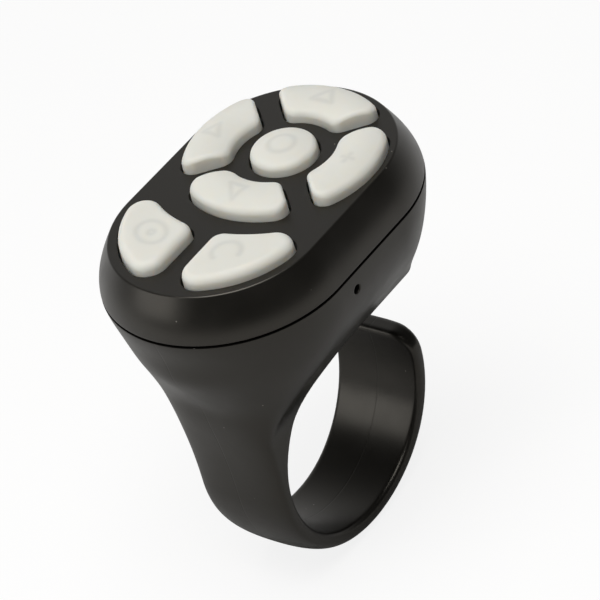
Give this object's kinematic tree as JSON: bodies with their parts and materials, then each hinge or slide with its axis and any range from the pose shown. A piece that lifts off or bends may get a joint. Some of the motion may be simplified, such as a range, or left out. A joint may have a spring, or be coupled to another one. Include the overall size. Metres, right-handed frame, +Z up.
{
  "type": "finger ring remote control",
  "caption": "Oval remote control with soft push keys on a springy open band, worn on a finger to scroll and click on a phone or tablet by radio.",
  "frame": {"origin": "centre of the finger hole, at the middle of the band's width", "axes": "+Y along the finger hole, +Z up to the flat top with the keys, +X to the end of the head that holds the charging socket"},
  "size_m": [0.0376, 0.026, 0.0439],
  "materials": {
    "shell": "moulded black ABS, satin",
    "key_silicone": "moulded white silicone rubber, soft satin",
    "mat_silicone": "moulded white silicone rubber",
    "black_plastic": "moulded black nylon",
    "spring_steel": "bright rolled steel",
    "socket_steel": "nickel plated, drawn",
    "board": "glass epoxy under green solder resist",
    "gold": "gold flashed copper",
    "pouch": "aluminium laminate pouch",
    "tape": "polyimide film tape",
    "foam": "closed-cell foam",
    "red_wire": "silicone insulation",
    "black_wire": "silicone insulation",
    "ceramic": "fired ceramic",
    "led": "clear epoxy on white"
  },
  "bodies": {
    "housing": {"ring_body": "shell", "top_cover": "shell", "keypad_mat": "mat_silicone", "switch_case_middle": "black_plastic", "switch_dome_middle": "spring_steel", "switch_case_far": "black_plastic", "switch_dome_far": "spring_steel", "switch_case_left": "black_plastic", "switch_dome_left": "spring_steel", "switch_case_near": "black_plastic", "switch_dome_near": "spring_steel", "switch_case_right": "black_plastic", "switch_dome_right": "spring_steel", "switch_case_corner_left": "black_plastic", "switch_dome_corner_left": "spring_steel", "switch_case_corner_right": "black_plastic", "switch_dome_corner_right": "spring_steel", "switch_plates": "spring_steel", "circuit_board": "board", "cover_screws": "spring_steel", "socket_shell": "socket_steel", "socket_tongue": "black_plastic", "socket_contacts": "gold", "battery_cell": "pouch", "battery_tabs": "spring_steel", "battery_guard": "board", "battery_tape": "tape", "battery_foam": "foam", "wire_plus": "red_wire", "wire_minus": "black_wire", "radio_chip": "black_plastic", "crystal_can": "socket_steel", "charger_chip": "black_plastic", "charger_leads": "spring_steel", "capacitors": "ceramic", "resistors": "black_plastic", "chip_terminals": "spring_steel", "antenna_trace": "gold", "indicator_led": "led"},
    "button_middle": {"key_middle": "key_silicone", "switch_stem_middle": "black_plastic"},
    "button_far": {"key_far": "key_silicone", "switch_stem_far": "black_plastic"},
    "button_left": {"key_left": "key_silicone", "switch_stem_left": "black_plastic"},
    "button_near": {"key_near": "key_silicone", "switch_stem_near": "black_plastic"},
    "button_right": {"key_right": "key_silicone", "switch_stem_right": "black_plastic"},
    "button_corner_left": {"key_corner_left": "key_silicone", "switch_stem_corner_left": "black_plastic"},
    "button_corner_right": {"key_corner_right": "key_silicone", "switch_stem_corner_right": "black_plastic"}
  },
  "joints": [
    {"name": "middle_press", "type": "slide", "parent": "housing", "child": "button_middle", "axis": [0, 0, -1], "range_m": [0, 0.0003], "stiffness_N_per_m": 5000},
    {"name": "far_press", "type": "slide", "parent": "housing", "child": "button_far", "axis": [0, 0, -1], "range_m": [0, 0.0003], "stiffness_N_per_m": 5000},
    {"name": "left_press", "type": "slide", "parent": "housing", "child": "button_left", "axis": [0, 0, -1], "range_m": [0, 0.0003], "stiffness_N_per_m": 5000},
    {"name": "near_press", "type": "slide", "parent": "housing", "child": "button_near", "axis": [0, 0, -1], "range_m": [0, 0.0003], "stiffness_N_per_m": 5000},
    {"name": "right_press", "type": "slide", "parent": "housing", "child": "button_right", "axis": [0, 0, -1], "range_m": [0, 0.0003], "stiffness_N_per_m": 5000},
    {"name": "corner_left_press", "type": "slide", "parent": "housing", "child": "button_corner_left", "axis": [0, 0, -1], "range_m": [0, 0.0003], "stiffness_N_per_m": 5000},
    {"name": "corner_right_press", "type": "slide", "parent": "housing", "child": "button_corner_right", "axis": [0, 0, -1], "range_m": [0, 0.0003], "stiffness_N_per_m": 5000}
  ]
}
